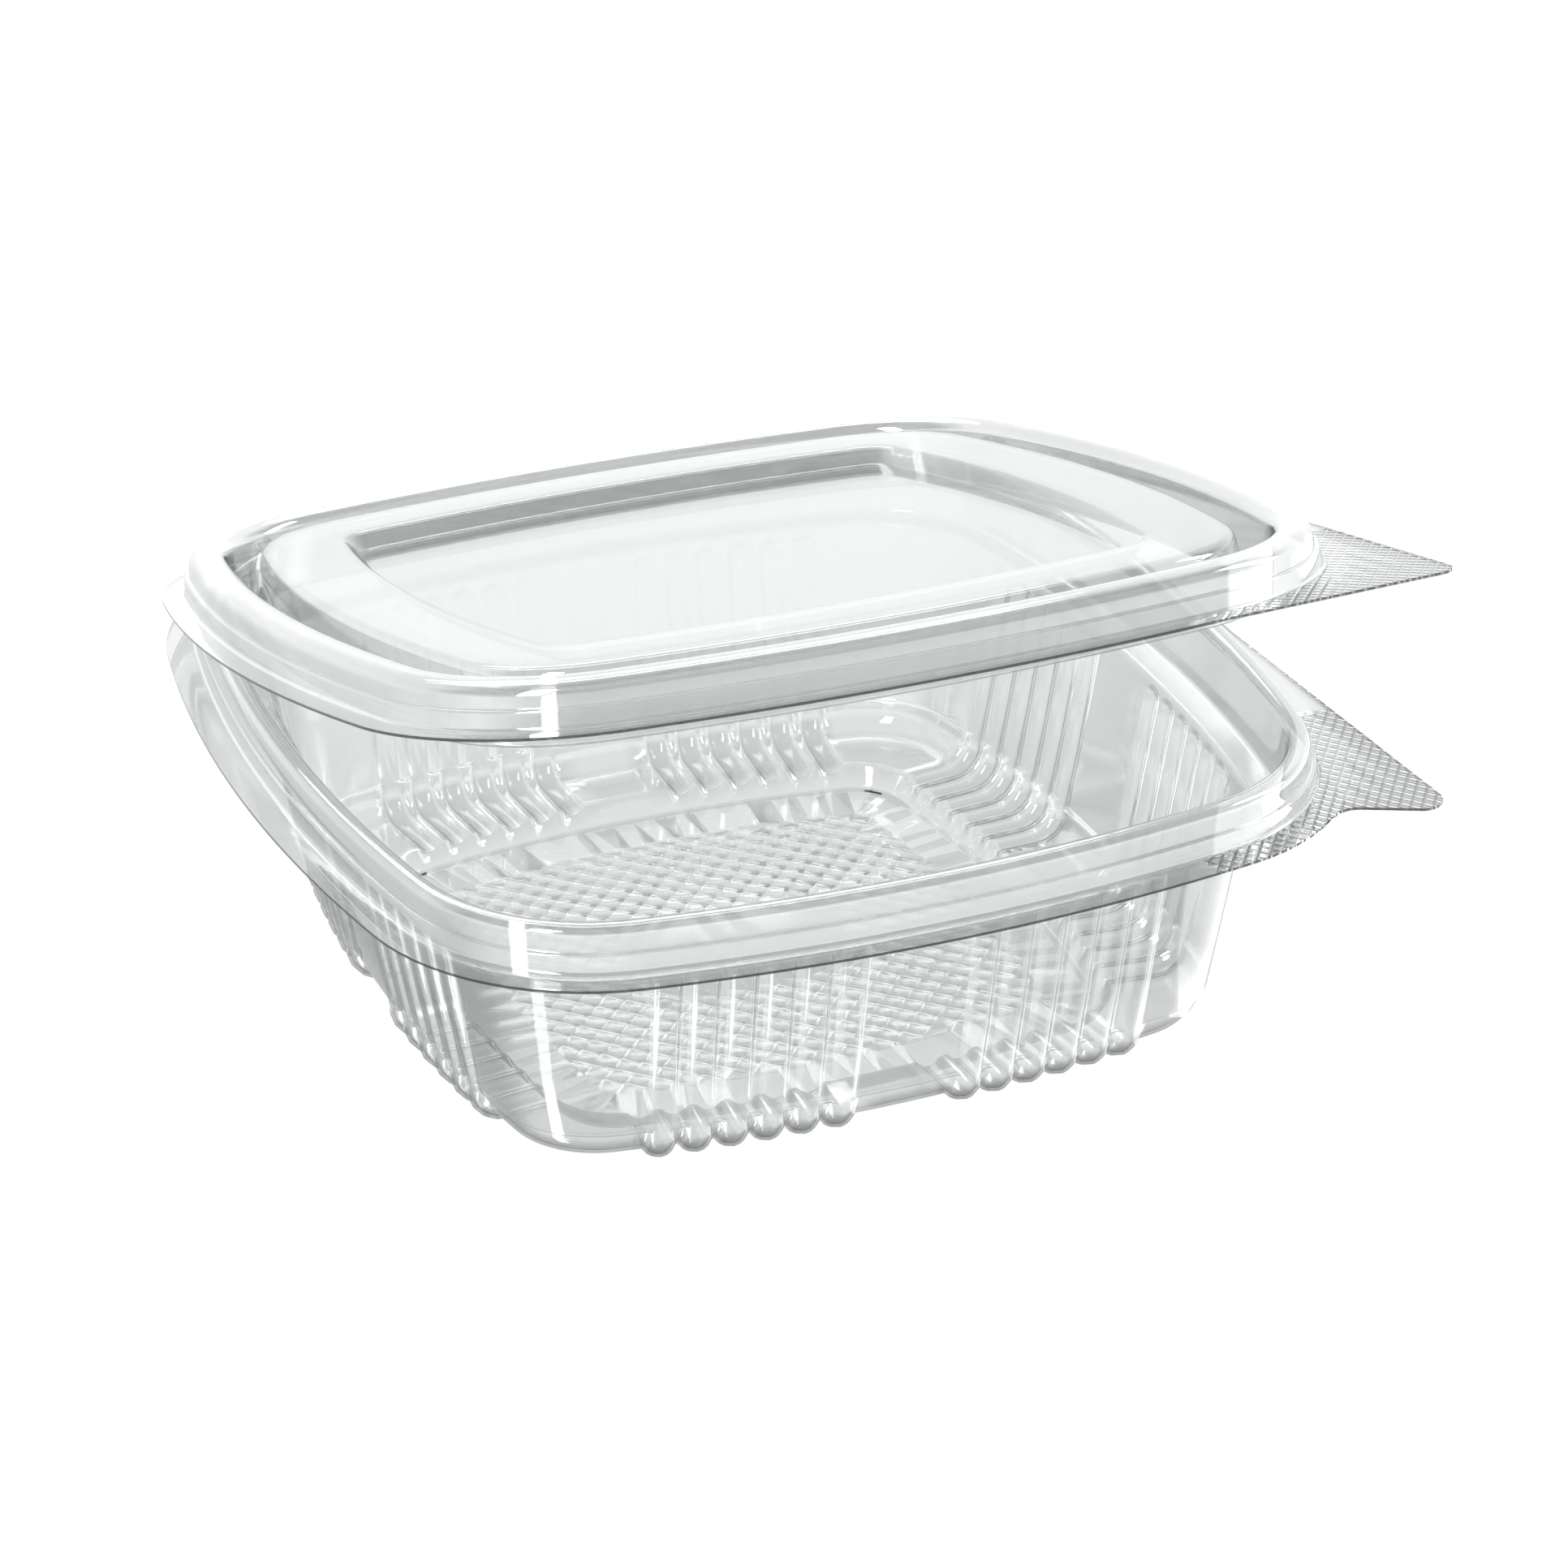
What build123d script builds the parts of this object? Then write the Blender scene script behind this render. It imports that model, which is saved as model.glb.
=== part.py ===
"""Clear hinged-lid food pack: a thermoformed tray and its lid, folded from one sheet."""
import math
import os

from build123d import *

# Driving dimensions, millimetres. Origin: middle of the pack on the table.
# X runs along the front, Y towards the hinge at the back, Z up.

# Sheet and fits
sheet = 0.5
lid_gap = 0.3
hinge_gap = 0.3

# Flange outline in plan: half sizes, corner radius and the bow radius of each side
half_length = 95.0
half_depth = 97.0
corner_radius = 42.0
bow_radius = 330.0

# Levels of the middle of the sheet
flange_level = 51.0
ring_level = 4.2
panel_level = sheet / 2

# Rim bead of the tray, across the flange
flange_width = 5.5
bead_width = 6.2
bead_height = 7.6
bead_step_height = 3.4
bead_step = 0.8
bead_draft = 0.5
bead_lean = 1.0
bead_round = 1.6

# Seat under the rim, wall and foot
seat_drop = 5.0
seat_width = 5.6
wall_lean = 5.9
ledge_level = 10.1
ledge_width = 1.0
foot_lean = 0.7
foot_round = 5.0
bend_round = 0.9

# Recessed floor panel
panel_half_length = 58.0
panel_half_depth = 58.0
panel_corner = 13.0
panel_bow = 242.0
panel_slope = 27.0

# Lobes down the wall, round the foot and along the floor ring into the recess
lobe_radius = 2.75
lobe_sink = 1.05
lobe_top = 42.0
lobe_top_inset = 19.05
lobe_foot_inset = 25.7
lobe_bend = 4.0
lobe_end_inset = 41.5
lobe_pitch = 6.42
lobe_group_centre = 28.0
lobe_group_count = 6

# Lid: bead, channel, plateau and window
lid_bead_inset = 4.3
lid_crest_inset = 12.2
channel_inset = 13.2
channel_drop = 3.9
channel_width = 3.4
plateau_height = 7.6
plateau_lean = 2.8
plateau_width = 14.8
window_drop = 3.0
window_lean = 2.4
window_overlap = 2.0
lid_bend_round = 0.9

# Pull tabs at the front right corner
tab_back = -8.0
tab_back_x = 95.2
tab_tip_x = 97.0
tab_tip_y = -89.2
tab_tip_round = 4.0
tab_left = 50.0
tab_left_y = -93.1
tab_overlap = 3.0
notch_x = 79.4
notch_y = -80.7
notch_round = 5.0
notch_left_x = 68.0
notch_left_y = -87.6

# Fold along the back edge
hinge_offset = 4.0
hinge_half_width = 58.0
crease_radius = 0.6

# Lid pose at rest
open_angle = 13.0

# Sizes that follow
lid_step = sheet + lid_gap
lid_level = flange_level + lid_step
hinge_y = half_depth + hinge_offset
hinge_z = flange_level + lid_step / 2
crest_level = flange_level + bead_height
step_level = flange_level + bead_step_height
seat_level = flange_level - seat_drop
bead_in = flange_width + bead_width
seat_in = bead_in + seat_width
wall_foot = seat_in + wall_lean
ledge_in = wall_foot + ledge_width
foot_in = ledge_in + foot_lean
wall_draft = math.degrees(math.atan2(wall_lean, seat_level - ledge_level))
foot_draft = math.degrees(math.atan2(foot_lean, ledge_level - ring_level))


def outline_arcs(half_x, half_y, radius, bow):
    """Eight tangent arcs round a bowed rectangle: centre, radius, start and size in degrees."""
    side = Vector(half_x - bow, 0)
    end = Vector(0, half_y - bow)
    span = (end - side).length
    along = (end - side) / span
    foot = span / 2
    rise = math.sqrt((bow - radius) ** 2 - foot**2)
    corner = side + along * foot + Vector(-along.Y, along.X) * rise
    first = math.degrees(math.atan2(corner.Y - side.Y, corner.X - side.X))
    last = math.degrees(math.atan2(corner.Y - end.Y, corner.X - end.X))
    turn = last - first
    quarter = [
        (side.X, side.Y, bow, -first, 2 * first),
        (corner.X, corner.Y, radius, first, turn),
        (end.X, end.Y, bow, last, 180 - 2 * last),
        (-corner.X, corner.Y, radius, 180 - last, turn),
    ]
    opposite = [(-x, -y, size, start + 180, arc) for x, y, size, start, arc in quarter]
    return quarter + opposite


def outline_face(arcs, inset=0.0, mode=Mode.ADD):
    """Closed face inside the arcs, moved inwards by the inset. Used inside a sketch."""
    with BuildLine() as rim:
        for x, y, radius, start, size in arcs:
            CenterArc((x, y), radius - inset, start, size)
    make_face(rim.edges(), mode)


def turned_profile(points, rounds):
    """Sweep a bent strip of sheet once round the pack. Points are (inset, level)."""
    for x, y, radius, start, size in flange_arcs:
        out = Vector(math.cos(math.radians(start)), math.sin(math.radians(start)), 0)
        section_plane = Plane((x, y, 0), x_dir=out, z_dir=out.cross(Vector(0, 0, 1)))
        with BuildSketch(section_plane) as section:
            with BuildLine() as strip:
                FilletPolyline([(radius - inset, level) for inset, level in points], radius=rounds)
            trace(strip.line, sheet)
        revolve(section.sketch, Axis((x, y, 0), (0, 0, 1)), size)


def flat_sheet(level):
    """Plane of a sheet's lower face, from the level of its middle."""
    return Plane.XY.offset(level - sheet / 2)


def lobe_tube(skin):
    """One lobe about the middle of a side: down the wall, round the foot, into the recess."""
    top_x = bow_radius - lobe_top_inset
    foot_x = bow_radius - lobe_foot_inset
    end_x = bow_radius - lobe_end_inset
    with BuildPart() as tube:
        with BuildLine(Plane.XZ) as path:
            FilletPolyline(
                (top_x, lobe_top),
                (foot_x, lobe_floor),
                (end_x, lobe_floor),
                radius=lobe_bend,
            )
        with BuildSketch(path.line ^ 0):
            Circle(lobe_radius + skin)
        sweep()
        with Locations((top_x, 0, lobe_top)):
            Sphere(lobe_radius + skin)
    return tube.part


def bowl(skin, top):
    """Filled form of the tray below its seat, its surface a skin outside the sheet's middle.

    The form is the same when turned half round, so a half with its lobes is made and used twice.
    """
    with BuildPart() as form:
        with BuildSketch(Plane.XY.offset(ring_level - skin)):
            outline_face(flange_arcs, foot_in - skin)
        extrude(amount=ledge_level - ring_level, taper=-foot_draft)
        fillet(form.edges().group_by(Axis.Z)[0], foot_round + skin)
        with BuildSketch(Plane.XY.offset(ledge_level - skin)):
            outline_face(flange_arcs, wall_foot - skin)
        extrude(amount=top - ledge_level + skin, taper=-wall_draft)
        with BuildSketch(Plane.XY.offset(ring_level - skin)):
            outline_face(panel_arcs, -skin)
        extrude(amount=panel_level - ring_level, taper=panel_slope)
        with Locations(*lobe_places):
            add(lobe_tube(skin))
        split(bisect_by=Plane((0, 0, 0), z_dir=(1, 1, 0)))
    with BuildPart() as whole:
        add(form.part)
        add(form.part.rotate(Axis.Z, 180))
    return whole.part


flange_arcs = outline_arcs(half_length, half_depth, corner_radius, bow_radius)
panel_arcs = outline_arcs(panel_half_length, panel_half_depth, panel_corner, panel_bow)

# Lobes stand in two groups on each wall, here on two neighbouring walls of half the pack
lobe_floor = ring_level + lobe_sink
lobe_steps = [(index - (lobe_group_count - 1) / 2) * lobe_pitch for index in range(lobe_group_count)]
lobe_offsets = [side * lobe_group_centre + step for side in (-1, 1) for step in lobe_steps]
lobe_places = []
for x, y, radius, start, size in flange_arcs[:4:2]:
    for offset in lobe_offsets:
        turn = start + size / 2 + math.degrees(offset / (bow_radius - lobe_foot_inset))
        lobe_places.append(Location((x, y, 0), (0, 0, turn)))

# Tray rim from the flange edge inwards to the seat
rim_points = [
    (0, flange_level),
    (flange_width, flange_level),
    (flange_width + bead_draft, step_level),
    (flange_width + bead_draft + bead_step, step_level),
    (flange_width + 2 * bead_draft + bead_step, crest_level),
    (bead_in - bead_lean, crest_level),
    (bead_in, seat_level),
    (seat_in, seat_level),
]
rim_rounds = [
    bend_round,
    bead_step / 3,
    bead_step / 3,
    bead_round,
    bead_round,
    bend_round,
]

with BuildPart() as tray:
    add(bowl(sheet / 2, seat_level + sheet / 2))
    add(bowl(-sheet / 2, seat_level + sheet), mode=Mode.SUBTRACT)
    turned_profile(rim_points, rim_rounds)
    # Pull tab, with a finger notch where its front edge leaves the flange
    with BuildSketch(flat_sheet(flange_level)):
        with BuildLine():
            FilletPolyline(
                (notch_left_x, notch_left_y),
                (notch_x, notch_y),
                (tab_tip_x, tab_tip_y),
                (tab_back_x, tab_back),
                radius=[notch_round, tab_tip_round],
            )
            Polyline((tab_back_x, tab_back), (notch_left_x, tab_back), (notch_left_x, notch_left_y))
        make_face()
        # Strip at the back up to the fold
        with Locations((0, hinge_y)):
            Rectangle(2 * hinge_half_width, half_depth, align=(Align.CENTER, Align.MAX))
        outline_face(flange_arcs, tab_overlap, Mode.SUBTRACT)
    extrude(amount=sheet)
    # Crease of the fold
    with Locations((0, hinge_y, hinge_z)):
        Cylinder(crease_radius, 2 * hinge_half_width, rotation=(0, 90, 0))

# Lid from its flange edge inwards to the window, shown shut
channel_level = flange_level - channel_drop
channel_in = channel_inset + channel_width
plateau_level = flange_level + plateau_height
plateau_in = channel_in + plateau_lean
window_out = plateau_in + plateau_width
window_in = window_out + window_lean
window_level = plateau_level - window_drop
lid_points = [
    (0, lid_level),
    (lid_bead_inset, lid_level),
    (lid_bead_inset + bead_draft, step_level + lid_step),
    (lid_bead_inset + bead_draft + bead_step, step_level + lid_step),
    (lid_bead_inset + 2 * bead_draft + bead_step, crest_level + lid_step),
    (lid_crest_inset, crest_level + lid_step),
    (channel_inset, channel_level),
    (channel_in, channel_level),
    (plateau_in, plateau_level),
    (window_out, plateau_level),
    (window_in, window_level),
    (window_in + window_overlap, window_level),
]
lid_rounds = [
    bend_round,
    bead_step / 3,
    bead_step / 3,
    bead_round + lid_step,
    bead_round + lid_step,
    lid_bend_round,
    lid_bend_round,
    bead_round,
    lid_bend_round,
    lid_bend_round,
]

with BuildPart() as lid:
    turned_profile(lid_points, lid_rounds)
    # Flat window
    with BuildSketch(flat_sheet(window_level)):
        outline_face(flange_arcs, window_in + window_overlap / 2)
    extrude(amount=sheet)
    # Pull tab and the strip at the back
    with BuildSketch(flat_sheet(lid_level)):
        with BuildLine():
            FilletPolyline(
                (tab_left, tab_left_y),
                (tab_tip_x, tab_tip_y),
                (tab_back_x, tab_back),
                radius=tab_tip_round,
            )
            Polyline((tab_back_x, tab_back), (tab_left, tab_back), (tab_left, tab_left_y))
        make_face()
        with Locations((0, hinge_y - crease_radius - hinge_gap)):
            Rectangle(2 * hinge_half_width, half_depth, align=(Align.CENTER, Align.MAX))
        outline_face(flange_arcs, tab_overlap, Mode.SUBTRACT)
    extrude(amount=sheet)

fold_axis = Axis((0, hinge_y, hinge_z), (1, 0, 0))
lid_ajar = lid.part.rotate(fold_axis, -open_angle)

tray.part.label = "tray"
lid_ajar.label = "lid"

os.makedirs("parts", exist_ok=True)
export_step(tray.part, "parts/tray.step")
export_step(lid_ajar, "parts/lid.step")
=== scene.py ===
"""Looks of the clear hinged-lid food pack: the moulded sheet, its fine texture and a white studio."""

import math

import bmesh
import bpy
import numpy as np
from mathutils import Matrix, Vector
from mathutils.geometry import delaunay_2d_cdt


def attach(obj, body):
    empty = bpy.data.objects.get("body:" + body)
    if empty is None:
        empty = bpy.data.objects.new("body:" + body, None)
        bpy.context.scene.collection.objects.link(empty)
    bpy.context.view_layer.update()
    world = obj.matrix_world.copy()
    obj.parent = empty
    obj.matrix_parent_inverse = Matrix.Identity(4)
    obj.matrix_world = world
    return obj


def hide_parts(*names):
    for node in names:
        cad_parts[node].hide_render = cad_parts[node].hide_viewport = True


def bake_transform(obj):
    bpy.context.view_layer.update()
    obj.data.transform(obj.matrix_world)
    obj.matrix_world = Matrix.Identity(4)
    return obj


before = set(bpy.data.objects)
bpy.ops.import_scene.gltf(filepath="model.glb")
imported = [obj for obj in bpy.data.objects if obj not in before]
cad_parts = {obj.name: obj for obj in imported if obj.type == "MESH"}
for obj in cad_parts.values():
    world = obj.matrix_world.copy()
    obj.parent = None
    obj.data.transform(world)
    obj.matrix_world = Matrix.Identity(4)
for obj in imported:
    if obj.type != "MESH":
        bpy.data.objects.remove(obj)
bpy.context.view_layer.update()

# Sizes in millimetres, as in the part's source
MM = 0.001
SHEET = 0.5
HALF_X, HALF_Y, CORNER, BOW = 95.0, 97.0, 42.0, 330.0
FLANGE_Z, LEDGE_Z, RING_Z, PANEL_Z = 51.0, 10.1, 4.2, SHEET / 2
SEAT_Z = FLANGE_Z - 5.0
CREST_Z = FLANGE_Z + 7.6
STEP_Z = FLANGE_Z + 3.4
FLANGE_WIDTH, BEAD_DRAFT, BEAD_STEP, BEAD_LEAN = 5.5, 0.5, 0.8, 1.0
BEAD_IN, SEAT_IN, WALL_FOOT, LEDGE_IN, FOOT_IN, RING_IN = 11.7, 17.3, 23.2, 24.2, 24.9, 36.0
BEND_ROUND, STEP_ROUND, BEAD_ROUND, LEDGE_ROUND, FOOT_ROUND = 0.9, 0.3, 1.6, 0.4, 5.0
PANEL = (58.0, 58.0, 13.0, 242.0)
PANEL_SLOPE = math.radians(27.0)
RECESS_IN = HALF_X - PANEL[0]
RECESS_LIP, RECESS_FOOT, RECESS_ROUND = -1.0, 3.4, 0.8
LOBE_R, LOBE_SINK, LOBE_BEND = 2.75, 1.05, 4.0
LOBE_TOP = (19.05, 42.0)
LOBE_FOOT, LOBE_END = 25.7, 50.0
LOBE_PITCH, LOBE_GROUP, LOBE_COUNT = 6.42, 28.0, 6
LID_STEP = 0.8
LID_Z = FLANGE_Z + LID_STEP
CHANNEL_Z, PLATEAU_Z, WINDOW_Z = FLANGE_Z - 3.9, FLANGE_Z + 7.6, FLANGE_Z + 4.6
LID_BEAD_IN, LID_CREST_IN, CHANNEL_IN, CHANNEL_END = 4.3, 12.2, 13.2, 16.6
PLATEAU_IN, PLATEAU_END, WINDOW_IN, WINDOW_ROW = 19.4, 34.2, 36.6, 38.6
LID_BEAD_ROUND, PLATEAU_ROUND = 2.4, 1.6
HINGE_Y = HALF_Y + 4.0
HINGE_Z = FLANGE_Z + LID_STEP / 2
HINGE_HALF, CREASE = 58.0, 0.6
OPEN_ANGLE = math.radians(13.0)
TAB_BACK, TAB_TIP = (95.2, -8.0), (97.0, -89.2)
TAB_LEFT, NOTCH, NOTCH_LEFT = (50.0, -93.1), (79.4, -80.7), (68.0, -87.6)
TAB_ROUND, NOTCH_ROUND = 4.0, 5.0

# Texture: crosshatch of the floor with its smooth island, lozenges of the pull tabs, ridge on the lobes
HATCH_HALF, HATCH_BOW, HATCH_REACH = (42.8, 41.0), 216.0, 66.0
HATCH_LEAN, HATCH_PITCH, HATCH_WIDTH, HATCH_RISE, HATCH_MARGIN = 45.0, 3.9, 0.28, 0.2, 0.4
ISLAND_HALF, ISLAND_ROUND = (21.0, 15.0), 6.0
GRIP_LEAN, GRIP_PITCH, GRIP_WIDTH, GRIP_RISE = 53.0, 1.92, 0.5, 0.35
GRIP_BACK, GRIP_LEFT = -45.5, 48.0
LEDGE_RIDGE = 0.35

# How cloudy forming left the sheet, in places by inset, and how much painted shade greys the lobe feet and
# the grip's lines
LINE_CLOUD, LOBE_CLOUD, RECESS_CLOUD = 3.0, 0.9, 0.7
LEDGE_CLOUD = ((WALL_FOOT - 0.4, 0), (WALL_FOOT, 1), (LEDGE_IN, 1), (LEDGE_IN + 0.4, 0))
TRAY_CLOUD = ((BEAD_IN, 1), (SEAT_IN, 0), *LEDGE_CLOUD)
LID_CLOUD = ((17.0, 1.0), (20.0, 0.3), (34.0, 0.3), (37.0, 0.0))
LOBE_GREY_REACH, LOBE_SHADE, GRIP_SHADE = 1.4, 0.18, 1.1


def outline_arcs(half_x, half_y, radius, bow):
    """Eight tangent arcs round a bowed rectangle: centre, radius, start and size in radians."""
    side = np.array([half_x - bow, 0.0])
    end = np.array([0.0, half_y - bow])
    span = np.linalg.norm(end - side)
    along = (end - side) / span
    rise = math.sqrt((bow - radius) ** 2 - (span / 2) ** 2)
    corner = side + along * span / 2 + np.array([-along[1], along[0]]) * rise
    first = math.atan2(corner[1] - side[1], corner[0] - side[0])
    last = math.atan2(corner[1] - end[1], corner[0] - end[0])
    quarter = [
        (side[0], side[1], bow, -first, 2 * first),
        (corner[0], corner[1], radius, first, last - first),
        (end[0], end[1], bow, last, math.pi - 2 * last),
        (-corner[0], corner[1], radius, math.pi - last, last - first),
    ]
    return quarter + [(-x, -y, r, a + math.pi, s) for x, y, r, a, s in quarter]


FLANGE_ARCS = outline_arcs(HALF_X, HALF_Y, CORNER, BOW)
PANEL_ARCS = outline_arcs(*PANEL)
LOBE_STEPS = [(i - (LOBE_COUNT - 1) / 2) * LOBE_PITCH for i in range(LOBE_COUNT)]
LOBE_ANGLES = [(side * LOBE_GROUP + s) / (BOW - LOBE_FOOT) for side in (-1, 1) for s in LOBE_STEPS]


def lobed_fractions(size):
    """Column places along a bowed side, close together on the lobes."""
    half = size / 2
    across = (-1.05, -0.89, -0.68, -0.38, 0.0, 0.38, 0.68, 0.89, 1.05)
    angles = [m + t * LOBE_R / (BOW - LOBE_FOOT) for m in LOBE_ANGLES for t in across]
    first, last = min(a for a in angles if a > 0), max(angles)
    angles += [-first / 2, 0.0, first / 2]
    angles += [s * (last + (half - last) * f) for s in (-1, 1) for f in (0.33, 0.66)]
    return [0.0] + [(a + half) / size for a in sorted(angles)]


def columns(side, corner):
    """Every column as (arc number, fraction along that arc). Side 0 gives columns for the lobes."""
    found = []
    for i, arc in enumerate(FLANGE_ARCS):
        if i % 2:
            fractions = np.arange(corner) / corner
        else:
            fractions = np.arange(side) / side if side else lobed_fractions(arc[4])
        found += [(i, f) for f in fractions]
    return found


def loop_points(cols, inset):
    """Points of the flange outline moved inwards by an inset, one per column."""
    inset = np.broadcast_to(inset, len(cols))
    out = []
    for (i, f), d in zip(cols, inset):
        x, y, r, a, s = FLANGE_ARCS[i]
        t = a + s * f
        out.append((x + (r - d) * math.cos(t), y + (r - d) * math.sin(t)))
    return np.array(out)


def recess_points(cols, inset):
    """Points of the floor recess outline, on the same lines as the columns of the walls."""
    ring = []
    for x, y, r, a, s in PANEL_ARCS:
        t = a + s * np.arange(200) / 200
        ring.append(np.column_stack([x + (r - inset) * np.cos(t), y + (r - inset) * np.sin(t)]))
    ring = np.vstack(ring)
    bearing = np.arctan2(ring[:, 1], ring[:, 0])
    order = np.argsort(bearing)
    bearing, size = bearing[order], np.hypot(ring[:, 0], ring[:, 1])[order]

    def reach(at):
        return np.interp(at, bearing, size, period=2 * math.pi)

    angles = np.full(len(cols), np.nan)
    for k, (i, f) in enumerate(cols):
        if i % 2 == 0:
            x, y, r, a, s = FLANGE_ARCS[i]
            t = a + s * f
            near, far = r - 60.0, r - 20.0
            for _ in range(40):
                middle = (near + far) / 2
                px, py = x + middle * math.cos(t), y + middle * math.sin(t)
                if math.hypot(px, py) < reach(math.atan2(py, px)):
                    near = middle
                else:
                    far = middle
            angles[k] = math.atan2(py, px)
    known = np.flatnonzero(~np.isnan(angles))
    turn = np.unwrap(angles[known])
    wrapped = np.append(known, known[0] + len(cols))
    turn = np.append(turn, turn[0] + 2 * math.pi)
    angles = np.interp(np.arange(len(cols)), wrapped, turn)
    return reach(angles)[:, None] * np.column_stack([np.cos(angles), np.sin(angles)])


def rounded(points, radii, step=0.42):
    """Polyline with rounded corners, whose arcs turn by at most a step in radians."""
    pts = [np.array(p, float) for p in points]
    out = [pts[0]]
    for i in range(1, len(pts) - 1):
        a, b, c = pts[i - 1], pts[i], pts[i + 1]
        u, v = (a - b) / np.linalg.norm(a - b), (c - b) / np.linalg.norm(c - b)
        angle = math.acos(np.clip(u @ v, -1, 1))
        turn = math.pi - angle
        reach = radii[i - 1] / math.tan(angle / 2)
        middle = b + (u + v) / np.linalg.norm(u + v) * (radii[i - 1] / math.sin(angle / 2))
        p, q = b + u * reach - middle, b + v * reach - middle
        n = max(2, math.ceil(turn / step))
        for k in range(n + 1):
            f = k / n
            w = (math.sin((1 - f) * turn) * p + math.sin(f * turn) * q) / math.sin(turn)
            out.append(middle + w)
    out.append(pts[-1])
    return np.array(out)


def insert_rows(profile, axis, values):
    """Add rows on the straight stretches of a profile at the given insets or levels."""
    rows = [profile[0]]
    for a, b in zip(profile[:-1], profile[1:]):
        between = []
        for v in values:
            if (a[axis] - v) * (b[axis] - v) < 0:
                f = (v - a[axis]) / (b[axis] - a[axis])
                if min(f, 1 - f) * np.linalg.norm(b - a) > 0.12:
                    between.append((f, a + (b - a) * f))
        rows += [p for _, p in sorted(between, key=lambda e: e[0])]
        rows.append(b)
    return np.array(rows)


def add_object(name, data):
    """Object in the scene for a mesh, lamp or camera."""
    obj = bpy.data.objects.new(name, data)
    bpy.context.scene.collection.objects.link(obj)
    return obj


class Surface:
    """Middle surface of a sheet, as vertices and faces in millimetres."""

    def __init__(self):
        self.verts = []
        self.faces = []
        self.bent = []

    def row(self, xy, z, bent=0.0):
        """One loop of vertices. Bent is how cloudy the sheet is there or, below zero, how much painted shade
        greys it.
        """
        start = len(self.verts)
        z = np.broadcast_to(z, len(xy))
        self.verts += [(x, y, h) for (x, y), h in zip(xy, z)]
        self.bent += list(np.broadcast_to(bent, len(xy)))
        return list(range(start, start + len(xy)))

    def band(self, a, b):
        """Faces between two loops."""
        n = len(a)
        self.faces += [(a[i], a[(i + 1) % n], b[(i + 1) % n], b[i]) for i in range(n)]

    def fill(self, loop, level, lines=(), height=None):
        """Close a loop of existing vertices with a flat sheet that carries raised lines."""
        flat = [Vector(self.verts[i][:2]) for i in loop]
        n = len(flat)
        edges = [(i, (i + 1) % n) for i in range(n)]
        for a, b in lines:
            edges.append((len(flat), len(flat) + 1))
            flat += [Vector(a), Vector(b)]
        co, _, faces, origin, _, _ = delaunay_2d_cdt(flat, edges, [list(range(n))], 1, 1e-4)
        index = []
        rises = height(*np.array([tuple(p) for p in co]).T) if height else np.zeros(len(co))
        for p, rise, source in zip(co, rises, origin):
            held = [s for s in source if s < n]
            if held:
                index.append(loop[held[0]])
            else:
                index.append(len(self.verts))
                self.verts.append((p.x, p.y, level + rise))
                self.bent.append(rise * LINE_CLOUD)
        self.faces += [tuple(index[i] for i in f) for f in faces]

    def shell(self, name, rim_level, place=None):
        """Thicken to a closed sheet, place it and make the object. The grip lies at the rim's level."""
        used = sorted({i for f in self.faces for i in f})
        renumber = {v: k for k, v in enumerate(used)}
        co = np.array(self.verts, float)[used]
        bent = np.array(self.bent, np.float32)[used]
        bm = bmesh.new()
        corners = [bm.verts.new(p) for p in co]
        for f in self.faces:
            bm.faces.new([corners[renumber[i]] for i in f])
        bmesh.ops.recalc_face_normals(bm, faces=bm.faces)
        bm.normal_update()
        bm.verts.index_update()
        normal = np.array([v.normal for v in bm.verts])
        faces = [tuple(v.index for v in f.verts) for f in bm.faces]
        rim = []
        for e in bm.edges:
            if len(e.link_loops) == 1:
                loop = e.link_loops[0]
                rim.append((loop.vert.index, loop.link_loop_next.vert.index))
        bm.free()
        n = len(co)
        both = np.vstack([co + normal * SHEET / 2, co - normal * SHEET / 2])
        every = list(faces) + [tuple(i + n for i in reversed(f)) for f in faces]
        every += [(b, a, a + n, b + n) for a, b in rim]
        if place is not None:
            both = place(both)
        mesh = bpy.data.meshes.new(name)
        mesh.from_pydata((both * MM).tolist(), [], every)
        mesh.polygons.foreach_set("use_smooth", [True] * len(every))
        # Rim faces take the second slot, the cut edge with its painted shade
        mesh.polygons.foreach_set("material_index", [0] * (len(every) - len(rim)) + [1] * len(rim))
        mesh.attributes.new("bent", "FLOAT", "POINT").data.foreach_set("value", np.tile(bent, 2))
        # The grip mask places the lozenge relief and its painted shade
        grip = (co[:, 0] > GRIP_LEFT) & (co[:, 1] < GRIP_BACK) & (np.abs(co[:, 2] - rim_level) < 0.1)
        flat = np.tile(np.column_stack([co[:, :2], grip]), (2, 1))
        mesh.attributes.new("flat", "FLOAT_VECTOR", "POINT").data.foreach_set("vector", flat.ravel())
        border = {tuple(sorted(p)) for p in rim} | {tuple(sorted((a + n, b + n))) for a, b in rim}
        sharp = mesh.attributes.new("sharp_edge", "BOOLEAN", "EDGE")
        sharp.data.foreach_set("value", [tuple(sorted(e.vertices)) in border for e in mesh.edges])
        return add_object(name, mesh)


def crossed(lean):
    """Two directions that cross, each at the lean in degrees from the X axis."""
    c, s = math.cos(math.radians(lean)), math.sin(math.radians(lean))
    return ((c, s), (c, -s))


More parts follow.
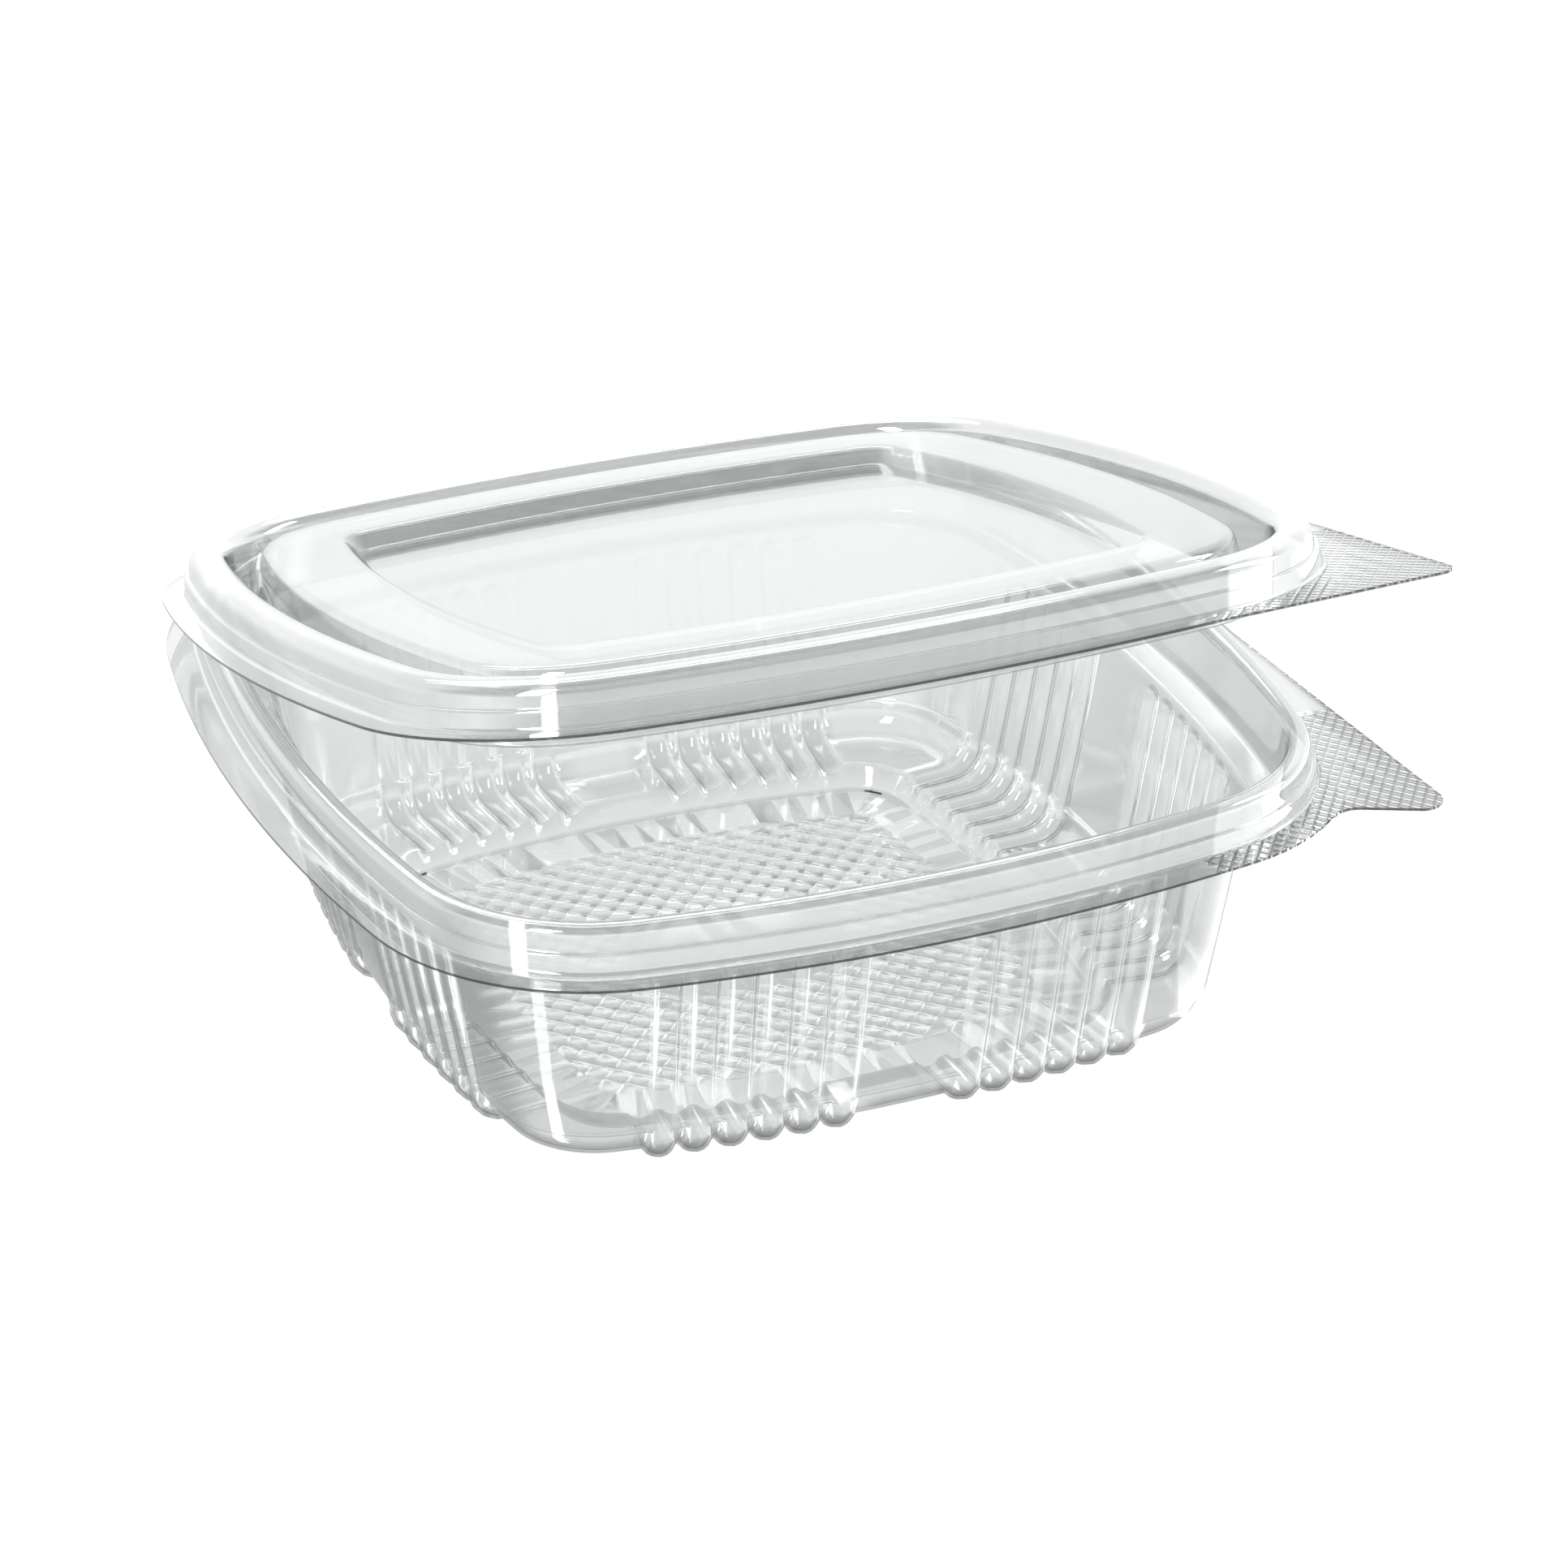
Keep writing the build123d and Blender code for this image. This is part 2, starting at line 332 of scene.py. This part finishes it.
def hatch_lines(directions, pitch, reach, width, inside):
    """Raised lines in two directions, each as its two feet and its crest, cut to a region."""
    lines = []
    step, taper = 0.15, 4
    t = np.arange(-reach, reach, step)
    for ux, uy in directions:
        for k in range(-int(reach / pitch) - 1, int(reach / pitch) + 2):
            for shift in (-width, 0.0, width):
                c = k * pitch + shift
                x, y = -uy * c + ux * t, ux * c + uy * t
                change = np.diff(np.concatenate([[False], inside(x, y), [False]]).astype(int))
                for a, b in zip(np.flatnonzero(change == 1), np.flatnonzero(change == -1) - 1):
                    stops = (a, a + taper, b - taper, b) if b - a > 3 * taper else ()
                    lines += [((x[i], y[i]), (x[j], y[j])) for i, j in zip(stops[:-1], stops[1:])]
    return lines


def hatch_height(directions, pitch, width, rise, margin, inside):
    """Heights of the raised lines at points, falling to nothing at the edge of their region."""

    def height(x, y):
        held = inside(x, y)
        for e, f in ((margin, 0), (-margin, 0), (0, margin), (0, -margin)):
            held = held & inside(x + e, y + f)
        off = [np.abs((uy * x - ux * y + pitch / 2) % pitch - pitch / 2) for ux, uy in directions]
        return np.where(held, rise * np.maximum(0, 1 - np.min(off, axis=0) / width), 0.0)

    return height


def in_hatch(x, y):
    """Inside the bowed square of the floor's crosshatch and outside its smooth island."""
    wide = HATCH_HALF[0] + (HATCH_HALF[1] ** 2 - y * y) / (2 * HATCH_BOW)
    deep = HATCH_HALF[1] + (HATCH_HALF[0] ** 2 - x * x) / (2 * HATCH_BOW)
    dx = np.abs(x) - ISLAND_HALF[0] + ISLAND_ROUND
    dy = np.abs(y) - ISLAND_HALF[1] + ISLAND_ROUND
    island = np.hypot(np.maximum(dx, 0), np.maximum(dy, 0)) + np.minimum(np.maximum(dx, dy), 0)
    return (np.abs(x) < wide) & (np.abs(y) < deep) & (island > ISLAND_ROUND)


def in_polygon(poly):
    """Test for points inside a closed polygon."""
    px, py = np.array(poly).T
    qx, qy = np.roll(px, -1), np.roll(py, -1)

    def inside(x, y):
        x, y = x[:, None], y[:, None]
        with np.errstate(divide="ignore", invalid="ignore"):
            at = (qx - px) * (y - py) / (qy - py) + px
        return np.count_nonzero(((py > y) != (qy > y)) & (x < at), axis=1) % 2 == 1

    return inside


def bead_outside(inset, rise):
    """Flange edge and stepped outer side of a rim bead, up to its crest."""
    step_in = inset + BEAD_DRAFT
    step_out = step_in + BEAD_STEP
    return [
        (0, FLANGE_Z + rise),
        (inset, FLANGE_Z + rise),
        (step_in, STEP_Z + rise),
        (step_out, STEP_Z + rise),
        (step_out + BEAD_DRAFT, CREST_Z + rise),
    ]


# Tray: rim, seat, wall, ledge, foot and floor ring as one profile of insets and levels
tray_profile = rounded(
    bead_outside(FLANGE_WIDTH, 0.0)
    + [
        (BEAD_IN - BEAD_LEAN, CREST_Z),
        (BEAD_IN, SEAT_Z),
        (SEAT_IN, SEAT_Z),
        (WALL_FOOT, LEDGE_Z),
        (LEDGE_IN, LEDGE_Z),
        (FOOT_IN, RING_Z),
        (RING_IN, RING_Z),
    ],
    [BEND_ROUND] + [STEP_ROUND] * 2 + [BEAD_ROUND] * 2 + [BEND_ROUND] * 2 + [LEDGE_ROUND] * 2 + [FOOT_ROUND],
)
lobe_rows = [LOBE_TOP[1] + d for d in (2.6, 2.2, 1.7, 1.0, 0.1, -1.5, -10, -20)]
tray_profile = insert_rows(tray_profile, 1, lobe_rows)
tray_profile = insert_rows(tray_profile, 0, [3.0, 33.0])
recess_slope = (RING_Z - PANEL_Z) * math.tan(PANEL_SLOPE)
recess_profile = rounded(
    [(RECESS_LIP, RING_Z), (0, RING_Z), (recess_slope, PANEL_Z), (RECESS_FOOT, PANEL_Z)],
    [RECESS_ROUND, RECESS_ROUND],
)
lobe_floor = RING_Z + LOBE_SINK
lobe_path = rounded([LOBE_TOP, (LOBE_FOOT, lobe_floor), (LOBE_END, lobe_floor)], [LOBE_BEND], 0.12)
tray_cols = columns(side=0, corner=14)

# How far each column lies from the nearest lobe's middle, as a share of its distance from the bow's centre
lateral = np.ones(len(tray_cols))
for k, (i, f) in enumerate(tray_cols):
    if i % 2 == 0:
        lateral[k] = min(abs(math.sin(FLANGE_ARCS[i][4] * (f - 0.5) - a)) for a in LOBE_ANGLES)


def outward(profile):
    """Unit normals of the tray's profile on its outer side. The wall's own serves down to the ledge."""
    t = np.gradient(profile, axis=0)
    n = np.column_stack([t[:, 1], -t[:, 0]])
    n[profile[:, 1] > LEDGE_Z - 0.5] = (LEDGE_Z - SEAT_Z, SEAT_IN - WALL_FOOT)
    return n / np.linalg.norm(n, axis=1)[:, None]


def lobe_reach(p, n, across):
    """How far each column's lobe stands out from a profile point along its normal."""
    s = np.linspace(-1.0, 5.0, 241)
    q = p + s[:, None] * n
    a, d = lobe_path[:-1], np.diff(lobe_path, axis=0)
    f = np.clip(((q[:, None] - a) * d).sum(2) / (d * d).sum(1), 0, 1)
    far = np.sqrt((((a + d * f[:, :, None]) - q[:, None]) ** 2).sum(2).min(1))
    room = np.sqrt(np.maximum(LOBE_R**2 - across**2, 0))
    inside = far[:, None] <= room
    last = len(s) - 1 - np.argmax(inside[::-1], axis=0)
    after = np.minimum(last + 1, len(s) - 1)
    step = (room - far[last]) / np.maximum(far[after] - far[last], 1e-6)
    return np.where(inside.any(0), np.maximum(0, s[last] + step * (s[1] - s[0])), 0)


def tray_surface():
    """Rows from the flange edge to the floor panel, pushed out on the lobes."""
    s = Surface()
    rows = []
    for p, n in zip(tray_profile, outward(tray_profile)):
        out = np.zeros(len(tray_cols))
        if p[0] > SEAT_IN and p[1] < SEAT_Z - 0.5:
            out = lobe_reach(p, n, lateral * (BOW - p[0]))
        lobe = out > 0.02
        brim = (lobe != np.roll(lobe, 1)) | (lobe != np.roll(lobe, -1))
        bent = np.maximum(np.interp(p[0], *zip(*TRAY_CLOUD)), LOBE_CLOUD * brim)
        if WALL_FOOT - 0.1 <= p[0] <= LEDGE_IN + 0.1:
            out = np.where(out > LEDGE_RIDGE, out - LEDGE_RIDGE, out)
        if p[1] < LEDGE_Z - 0.3:
            # Below the ledge, lobe feet get painted shade, greyer the further the lobe stands out
            bent = np.where(bent > 0, bent, -np.clip(out / LOBE_GREY_REACH, 0, 1))
        rows.append(s.row(loop_points(tray_cols, p[0] + n[0] * out), p[1] + n[1] * out, bent))
    room = LOBE_R**2 - (lateral * (BOW - RECESS_IN)) ** 2
    channel = np.where(room > 0, lobe_floor - np.sqrt(np.maximum(room, 0)), RING_Z)
    for inset, level in recess_profile:
        bent = RECESS_CLOUD if level > RING_Z - 0.5 and inset >= 0 else 0.0
        rows.append(s.row(recess_points(tray_cols, inset), np.minimum(level, channel), bent))
    for a, b in zip(rows[:-1], rows[1:]):
        s.band(a, b)
    return s, rows


def nearest_column(xy, place):
    """Number of the point nearest to a place."""
    return int(np.argmin(((xy - np.array(place)) ** 2).sum(1)))


def add_tab(s, row, level, outline):
    """Flat tab outside the flange edge, from its front left end round to its right end, cut for the grip."""
    xy = np.array([s.verts[i][:2] for i in row])
    a, b = nearest_column(xy, outline[0]), nearest_column(xy, outline[-1])
    n = len(row)
    edge = [row[(a + k) % n] for k in range((b - a) % n + 1)]
    outer = s.row(np.array(outline[1:-1]), level)
    loop = edge + outer[::-1]
    held = in_polygon([s.verts[i][:2] for i in loop])
    far_right, far_front, spare = 120.0, -100.0, 3
    cuts = [((GRIP_LEFT, GRIP_BACK + d), (far_right, GRIP_BACK + d)) for d in (-0.05, 0.05)]
    cuts += [((c, far_front), (c, GRIP_BACK)) for c in range(52, 98, 4)]
    lines = []
    for (ax, ay), (bx, by) in cuts:
        t = np.linspace(0, 1, 400)
        x, y = ax + (bx - ax) * t, ay + (by - ay) * t
        found = np.flatnonzero(held(x, y))
        if len(found) > 2 * spare + 2:
            first, last = found[spare], found[-1 - spare]
            lines.append(((x[first], y[first]), (x[last], y[last])))
    s.fill(loop, level, lines)


def add_strip(s, row, level, end_y):
    """Flat strip from the back edge of the flange to the fold."""
    xy = np.array([s.verts[i][:2] for i in row])
    a = nearest_column(xy, (HINGE_HALF, HALF_Y - 5))
    b = nearest_column(xy, (-HINGE_HALF, HALF_Y - 5))
    xs = np.linspace(xy[b][0], xy[a][0], 30)
    outer = s.row(np.column_stack([xs, np.full(len(xs), end_y)]), level)
    s.fill(row[a : b + 1] + outer, level)


tray_mid, tray_rows = tray_surface()
hatch = crossed(HATCH_LEAN)
floor_lines = hatch_lines(hatch, HATCH_PITCH, HATCH_REACH, HATCH_WIDTH, in_hatch)
floor_height = hatch_height(hatch, HATCH_PITCH, HATCH_WIDTH, HATCH_RISE, HATCH_MARGIN, in_hatch)
tray_mid.fill(tray_rows[-1], PANEL_Z, floor_lines, floor_height)
tray_tab = rounded([NOTCH_LEFT, NOTCH, TAB_TIP, TAB_BACK], [NOTCH_ROUND, TAB_ROUND], 0.2)
add_tab(tray_mid, tray_rows[0], FLANGE_Z, tray_tab)
add_strip(tray_mid, tray_rows[0], FLANGE_Z, HINGE_Y - CREASE / 2)
tray = tray_mid.shell("tray_sheet", FLANGE_Z)

# Lid, shut, then turned about the fold
lid_profile = rounded(
    bead_outside(LID_BEAD_IN, LID_STEP)
    + [
        (LID_CREST_IN, CREST_Z + LID_STEP),
        (CHANNEL_IN, CHANNEL_Z),
        (CHANNEL_END, CHANNEL_Z),
        (PLATEAU_IN, PLATEAU_Z),
        (PLATEAU_END, PLATEAU_Z),
        (WINDOW_IN, WINDOW_Z),
        (WINDOW_ROW, WINDOW_Z),
    ],
    [BEND_ROUND] + [STEP_ROUND] * 2 + [LID_BEAD_ROUND] * 2 + [BEND_ROUND] * 2
    + [PLATEAU_ROUND] + [BEND_ROUND] * 2,
    0.3,
)
lid_profile = insert_rows(lid_profile, 0, [2.2, 25.0, 31.0])
lid_cols = columns(side=44, corner=30)


def turned(points):
    """Points of the shut lid turned open about the fold."""
    y, z = points[:, 1] - HINGE_Y, points[:, 2] - HINGE_Z
    c, s = math.cos(OPEN_ANGLE), math.sin(OPEN_ANGLE)
    return np.column_stack([points[:, 0], HINGE_Y + y * c + z * s, HINGE_Z - y * s + z * c])


lid_mid = Surface()
lid_bent = np.interp(lid_profile[:, 0], *zip(*LID_CLOUD))
lid_rows = [lid_mid.row(loop_points(lid_cols, p[0]), p[1], b) for p, b in zip(lid_profile, lid_bent)]
for low, high in zip(lid_rows[:-1], lid_rows[1:]):
    lid_mid.band(low, high)
lid_mid.fill(lid_rows[-1], lid_profile[-1][1])
lid_tab = rounded([TAB_LEFT, TAB_TIP, TAB_BACK], [TAB_ROUND], 0.2)
add_tab(lid_mid, lid_rows[0], LID_Z, lid_tab)
add_strip(lid_mid, lid_rows[0], LID_Z, HINGE_Y - 1.5 * CREASE)
lid = lid_mid.shell("lid_sheet", LID_Z, turned)


# Sheet material: mirror share and greyness as it turns edge on, and roughness
MIRROR_EDGE_ON, MIRROR_POWER, GREY_POWER, ROUGHNESS = 0.75, 4.0, 2.5, 0.045


def bare_material(name):
    """New material and its emptied shader tree."""
    mat = bpy.data.materials.new(name)
    mat.use_nodes = True
    mat.node_tree.nodes.clear()
    return mat, mat.node_tree


def new_node(tree, kind, **values):
    """Node of a shader tree with values set on its sockets by name."""
    node = tree.nodes.new("ShaderNode" + kind)
    for socket, value in values.items():
        node.inputs[socket].default_value = value
    return node


def mix_shaders(tree, share, first, second):
    """Output of a material: two shaders, mixed by the share of the second."""
    mix = new_node(tree, "MixShader")
    for socket, source in zip(mix.inputs, (share, first.outputs[0], second.outputs[0])):
        tree.links.new(source, socket)
    tree.links.new(mix.outputs[0], new_node(tree, "OutputMaterial").inputs[0])


def math_node(tree, operation, *sources):
    """Math node whose inputs are sockets or plain numbers."""
    node = tree.nodes.new("ShaderNodeMath")
    node.operation = operation
    for k, source in enumerate(sources):
        if isinstance(source, (int, float)):
            node.inputs[k].default_value = source
        else:
            tree.links.new(source, node.inputs[k])
    return node.outputs[0]


def grip_relief(tree):
    """Normal of the lozenge grip, pressed into the corner of the flange and its tab, and its lines, where
    painted shade greys the sheet.
    """
    flat = new_node(tree, "Attribute")
    flat.attribute_name = "flat"
    split = new_node(tree, "SeparateXYZ")
    tree.links.new(flat.outputs["Vector"], split.inputs[0])
    ramps = []
    for ux, uy in crossed(GRIP_LEAN):
        along = math_node(tree, "MULTIPLY", split.outputs["X"], uy)
        across = math_node(tree, "MULTIPLY_ADD", split.outputs["Y"], -ux, along)
        ramps.append(math_node(tree, "PINGPONG", across, GRIP_PITCH / 2))
    cell = math_node(tree, "MINIMUM", math_node(tree, "MINIMUM", *ramps), GRIP_WIDTH)
    bump = new_node(tree, "Bump", Strength=1.0, Distance=GRIP_RISE * MM / GRIP_WIDTH)
    tree.links.new(math_node(tree, "MULTIPLY", cell, split.outputs["Z"]), bump.inputs["Height"])
    # Line is 1 in the middle of a grip line: there painted shade greys the sheet
    line = math_node(tree, "MULTIPLY_ADD", cell, -1 / GRIP_WIDTH, 1.0)
    return bump.outputs["Normal"], math_node(tree, "MULTIPLY", line, split.outputs["Z"])


def clear_plastic(name, see_face_on, edge_on_and_shade_grey, mirror, mirror_bent):
    """Thin clear glossy sheet: see-through face on, greyer and more mirror-like when seen edge on. Painted
    shade greys it on the lobe feet and along the grip's lines.
    """
    mat, tree = bare_material(name)
    clear = new_node(tree, "BsdfTransparent")
    gloss = new_node(tree, "BsdfGlossy", Color=(0.97, 0.98, 0.98, 1), Roughness=ROUGHNESS)
    weight = new_node(tree, "LayerWeight", Blend=0.5)
    facing = weight.outputs["Facing"]
    relief, line = grip_relief(tree)
    tree.links.new(relief, weight.inputs["Normal"])
    tree.links.new(relief, gloss.inputs["Normal"])
    bent = new_node(tree, "Attribute")
    bent.attribute_name = "bent"
    turned_away = math_node(tree, "POWER", facing, MIRROR_POWER)
    share = math_node(tree, "MULTIPLY_ADD", turned_away, MIRROR_EDGE_ON, mirror)
    cloud = math_node(tree, "MAXIMUM", bent.outputs["Fac"], 0.0)
    share = math_node(tree, "MULTIPLY_ADD", cloud, mirror_bent, share)
    # Painted shade on the lobe feet, from negative bent
    grey = math_node(tree, "MULTIPLY", math_node(tree, "MINIMUM", bent.outputs["Fac"], 0.0), -LOBE_SHADE)
    tint = new_node(tree, "Mix")
    tint.data_type = "RGBA"
    tint.inputs["A"].default_value = (*see_face_on, 1)
    tint.inputs["B"].default_value = (*edge_on_and_shade_grey, 1)
    # Painted shade of the lobe feet and grip lines adds to the edge-on grey and mixes towards the same colour
    edge_on_and_shade = math_node(tree, "ADD", math_node(tree, "POWER", facing, GREY_POWER), grey)
    tree.links.new(math_node(tree, "MULTIPLY_ADD", line, GRIP_SHADE, edge_on_and_shade), tint.inputs["Factor"])
    tree.links.new(tint.outputs["Result"], clear.inputs["Color"])
    mix_shaders(tree, share, clear, gloss)
    return mat


# The tray's sheet is tinted greyer than the lid's, though both are one sheet: painted shade
tray_sheet = clear_plastic("clear_tray", (0.885, 0.891, 0.89), (0.42, 0.43, 0.43), 0.05, 0.15)
lid_sheet = clear_plastic("clear_lid", (0.92, 0.926, 0.925), (0.55, 0.56, 0.56), 0.05, 0.15)
# Cut edges of the sheet are tinted dark grey: painted shade of the edge
cut_edge = clear_plastic("cut_edge", (0.2, 0.21, 0.21), (0.2, 0.21, 0.21), 0.03, 0.0)
for piece, body, sheet in ((tray, "tray", tray_sheet), (lid, "lid", lid_sheet)):
    piece.data.materials.append(sheet)
    piece.data.materials.append(cut_edge)
    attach(piece, body)
    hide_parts(body)


# Film over the crease: thickness, how much shorter it is at each end, and its line across the fold
FILM, FILM_SHORT, FILM_ROUND = 0.24, 0.4, 0.5
FILM_LINE = [(-0.3, -0.4), (0.62, -0.5), (0.55, 0.62), (-0.787, 0.592)]


def fold_film():
    """Film along the crease, round the back of the fold from the tray's strip to the lid's."""
    path = rounded(FILM_LINE, [FILM_ROUND, FILM_ROUND], 0.1)
    t = np.gradient(path, axis=0)
    side = np.column_stack([t[:, 1], -t[:, 0]]) / np.linalg.norm(t, axis=1)[:, None] * FILM / 2
    ring = np.vstack([path + side, (path - side)[::-1]]) + (HINGE_Y, HINGE_Z)
    n = len(ring)
    half = HINGE_HALF - FILM_SHORT
    verts = [(x * MM, y * MM, z * MM) for x in (-half, half) for y, z in ring]
    faces = [(i, (i + 1) % n, (i + 1) % n + n, i + n) for i in range(n)]
    faces += [(i, n - 1 - i, n - 2 - i, i + 1) for i in range(n // 2 - 1)]
    faces += [(n + i + 1, 2 * n - 2 - i, 2 * n - 1 - i, n + i) for i in range(n // 2 - 1)]
    mesh = bpy.data.meshes.new("fold_film")
    mesh.from_pydata(verts, [], faces)
    mesh.polygons.foreach_set("use_smooth", [True] * n + [False] * (len(faces) - n))
    mesh.materials.append(tray_sheet)
    bm = bmesh.new()
    bm.from_mesh(mesh)
    bmesh.ops.recalc_face_normals(bm, faces=bm.faces)
    bm.to_mesh(mesh)
    bm.free()
    return add_object("fold_film", mesh)


film = fold_film()
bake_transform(film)


def seen_white(name, colour):
    """White to the rays that look at it, plain paint to the light that falls on it."""
    mat, tree = bare_material(name)
    paint = new_node(tree, "BsdfDiffuse", Color=(*colour, 1))
    glow = new_node(tree, "Emission", Color=(1, 1, 1, 1), Strength=1.0)
    path = new_node(tree, "LightPath")
    looks = math_node(tree, "MAXIMUM", path.outputs["Is Camera Ray"], path.outputs["Is Glossy Ray"])
    looks = math_node(tree, "MAXIMUM", looks, path.outputs["Is Transmission Ray"])
    mix_shaders(tree, looks, paint, glow)
    return mat


def flat_card(name, width, height, mat):
    """Level rectangle of the stage, in metres."""
    w, h = width / 2, height / 2
    mesh = bpy.data.meshes.new(name)
    mesh.from_pydata([(-w, -h, 0), (w, -h, 0), (w, h, 0), (-w, h, 0)], [], [(0, 1, 2, 3)])
    mesh.materials.append(mat)
    return add_object(name, mesh)


# White floor, hidden from reflections: they see the room instead, so that the clear sheet is not washed out
floor = flat_card("floor", 8.0, 8.0, seen_white("white_table", (0.8, 0.8, 0.8)))
floor.visible_glossy = False

# Room that reflections see: grey by the height of the direction, on the camera's side and behind the pack
FRONT_GREYS = (
    (-1, 0.5), (-0.9, 0.8), (-0.75, 1.3), (-0.6, 1.3), (-0.35, 0.8),
    (0, 1.4), (0.2, 1.4), (0.45, 0.4), (1, 0.4),
)
BACK_GREYS = (
    (-1, 0.2), (-0.8, 0.6), (-0.55, 0.7), (-0.3, 1.2),
    (0, 1.7), (0.12, 1.7), (0.3, 1.6), (0.55, 1.6), (1, 0.4),
)
BACK_FROM, BACK_TO = 0.0, 0.6
BRIGHTEST = 2.0


def room_side(tree, height, greys):
    """Grey of one side of the room at a height of direction."""
    ramp = new_node(tree, "ValToRGB")
    stops = ramp.color_ramp.elements
    for at, _ in greys[1:-1]:
        stops.new((at + 1) / 2)
    for stop, (at, grey) in zip(stops, greys):
        stop.position = (at + 1) / 2
        stop.color = (grey / BRIGHTEST, grey / BRIGHTEST, grey / BRIGHTEST, 1)
    tree.links.new(height, ramp.inputs[0])
    return math_node(tree, "MULTIPLY", ramp.outputs["Color"], BRIGHTEST)


def studio_world():
    """White to the camera; to reflections a grey room, light behind the pack and towards the horizon."""
    world = bpy.data.worlds.new("studio")
    world.use_nodes = True
    tree = world.node_tree
    split = new_node(tree, "SeparateXYZ")
    tree.links.new(new_node(tree, "TexCoord").outputs["Generated"], split.inputs[0])
    height = math_node(tree, "MULTIPLY_ADD", split.outputs["Z"], 0.5, 0.5)
    behind = new_node(tree, "MapRange")
    behind.interpolation_type = "SMOOTHSTEP"
    behind.inputs["From Min"].default_value = BACK_FROM
    behind.inputs["From Max"].default_value = BACK_TO
    tree.links.new(split.outputs["Y"], behind.inputs["Value"])
    front, back = room_side(tree, height, FRONT_GREYS), room_side(tree, height, BACK_GREYS)
    room = math_node(tree, "MULTIPLY_ADD", math_node(tree, "SUBTRACT", back, front), behind.outputs[0], front)
    mix = new_node(tree, "Mix")
    mix.data_type = "RGBA"
    mix.inputs["B"].default_value = (1, 1, 1, 1)
    tree.links.new(room, mix.inputs["A"])
    tree.links.new(new_node(tree, "LightPath").outputs["Is Camera Ray"], mix.inputs["Factor"])
    tree.links.new(mix.outputs["Result"], tree.nodes["Background"].inputs["Color"])
    world.cycles.sampling_method = "NONE"
    return world


bpy.context.scene.world = studio_world()


PACK_MIDDLE = Vector((0, 0, 0.03))


def softbox(name, place, width, height, strength):
    """Glowing card that shows in reflections, facing the pack."""
    mat, tree = bare_material(name)
    glow = new_node(tree, "Emission", Strength=strength)
    tree.links.new(glow.outputs[0], new_node(tree, "OutputMaterial").inputs[0])
    mat.cycles.emission_sampling = "NONE"
    obj = flat_card(name, width, height, mat)
    obj.location = place
    obj.rotation_mode = "QUATERNION"
    obj.rotation_quaternion = (PACK_MIDDLE - Vector(place)).to_track_quat("-Z", "Y")


softbox("key", (-1.1, -0.9, 1.1), 0.35, 0.9, 22.0)
softbox("top", (0.2, 1.2, 1.2), 1.2, 0.6, 6.0)
softbox("side", (1.3, -0.2, 0.9), 0.3, 0.9, 14.0)
softbox("low", (-0.82, -0.25, -0.85), 0.18, 0.7, 5.0)
softbox("right", (1.0, 0.1, -0.4), 1.3, 0.9, 2.6)

# Plain lamp for what is not a mirror
lamp = bpy.data.lights.new("fill", "AREA")
lamp.size = 1.5
lamp.energy = 30.0
fill = add_object("fill", lamp)
fill.location = (0, 0, 1.8)
fill.visible_glossy = False

# Camera as fitted to the photo: picture width and focal length in pixels, sensor and place in millimetres
PICTURE, FOCAL, SENSOR = 1932, 5990.5, 36.0
EYE_AWAY, EYE_RIGHT, EYE_UP, EYE_LIFT = 900.0, 7.75, 27.77, 2.83
AZ, EL = math.radians(23.24), math.radians(26.89)
back = Vector((-math.sin(AZ) * math.cos(EL), -math.cos(AZ) * math.cos(EL), math.sin(EL)))
right = Vector((math.cos(AZ), -math.sin(AZ), 0))
up = back.cross(right)
camera = bpy.data.cameras.new("photo")
camera.sensor_width = SENSOR
camera.lens = FOCAL * SENSOR / PICTURE
eye = add_object("photo", camera)
eye.location = (back * EYE_AWAY + right * EYE_RIGHT + up * EYE_UP + Vector((0, 0, EYE_LIFT))) * MM
eye.rotation_mode = "QUATERNION"
eye.rotation_quaternion = (-back).to_track_quat("-Z", "Y")

scene = bpy.context.scene
scene.camera = eye
scene.view_settings.view_transform = "Standard"
scene.cycles.max_bounces = 8
scene.cycles.glossy_bounces = 3
scene.cycles.transparent_max_bounces = 64
